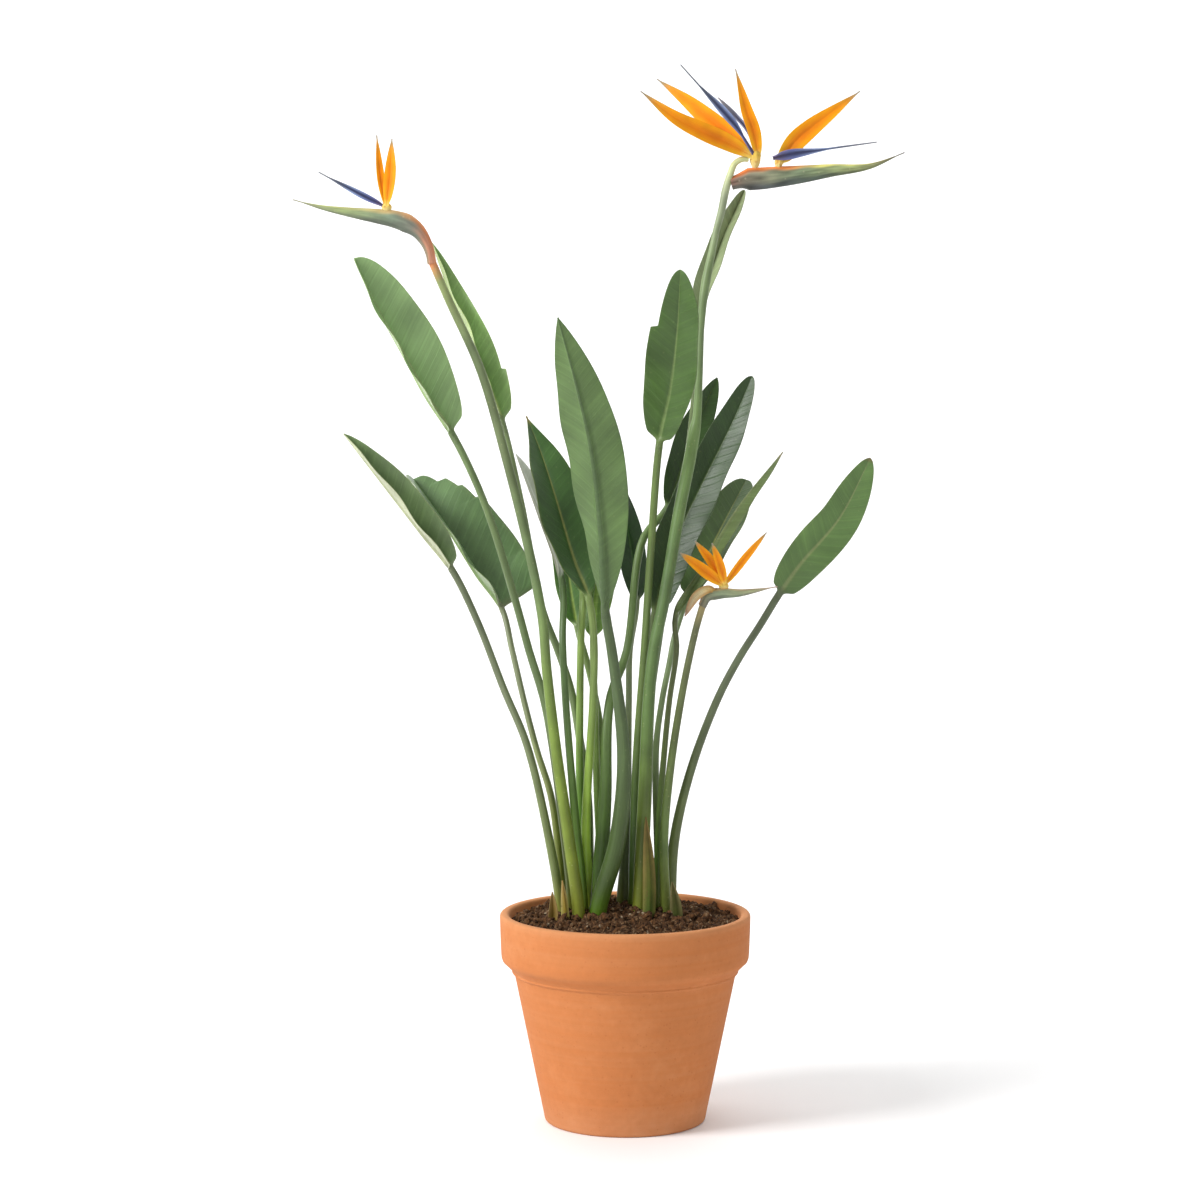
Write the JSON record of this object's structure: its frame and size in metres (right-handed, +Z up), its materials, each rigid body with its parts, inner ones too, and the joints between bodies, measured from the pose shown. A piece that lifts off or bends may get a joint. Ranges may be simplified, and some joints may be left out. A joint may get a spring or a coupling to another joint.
{
  "type": "potted bird of paradise",
  "caption": "Bird of paradise plant in a plain terracotta pot, with long-stalked paddle leaves and beaked orange and blue flowers",
  "frame": {"origin": "middle of the pot's flat underside, on the surface that it stands on", "axes": "+Z is up, +X is to the right of a viewer who faces the plant as pictured, +Y is away from that viewer"},
  "size_m": [0.5924, 0.3258, 1.0414],
  "materials": {
    "terracotta": "unglazed fired clay, dusty matt",
    "soil": "dark crumbly potting mix",
    "leaf": "leathery leaf with a waxy sheen",
    "stem": "smooth waxy stalk",
    "spathe": "waxy grey-green beak with an orange edge",
    "sepal": "satin petal",
    "tongue": "satin petal",
    "dry_sheath": "dry papery sheath"
  },
  "bodies": {
    "root": {"pot": "terracotta", "soil": "soil", "leaf_low_left": "leaf", "leaf_torn_left": "leaf", "leaf_high_left": "leaf", "leaf_beside_left_flower": "leaf", "leaf_back_left": "leaf", "leaf_dark_centre": "leaf", "leaf_tall_centre": "leaf", "leaf_grey_behind": "leaf", "leaf_dark_back": "leaf", "leaf_upright_notched": "leaf", "leaf_behind_right_flower": "leaf", "leaf_far_back": "leaf", "leaf_large_right": "leaf", "leaf_teal_back": "leaf", "leaf_narrow_right": "leaf", "leaf_wide_right": "leaf", "leaf_short_back": "leaf", "leaf_hidden_back": "leaf", "flower_left_stem": "stem", "flower_right_stem": "stem", "flower_right_lower_stem": "stem", "flower_left_spathe": "spathe", "flower_right_spathe": "spathe", "flower_right_lower_spathe": "spathe", "flower_left_floret_sepals": "sepal", "flower_left_floret_tongue": "tongue", "flower_right_floret_one_sepals": "sepal", "flower_right_floret_one_tongue_1": "tongue", "flower_right_floret_one_tongue_2": "tongue", "flower_right_floret_two_sepals": "sepal", "flower_right_floret_two_tongue": "tongue", "flower_right_lower_floret_sepals": "sepal", "green_stub": "stem", "dry_bract_left": "dry_sheath", "dry_sheath_centre": "dry_sheath", "dry_sheath_right": "dry_sheath", "withered_sepal": "dry_sheath"}
  },
  "joints": []
}
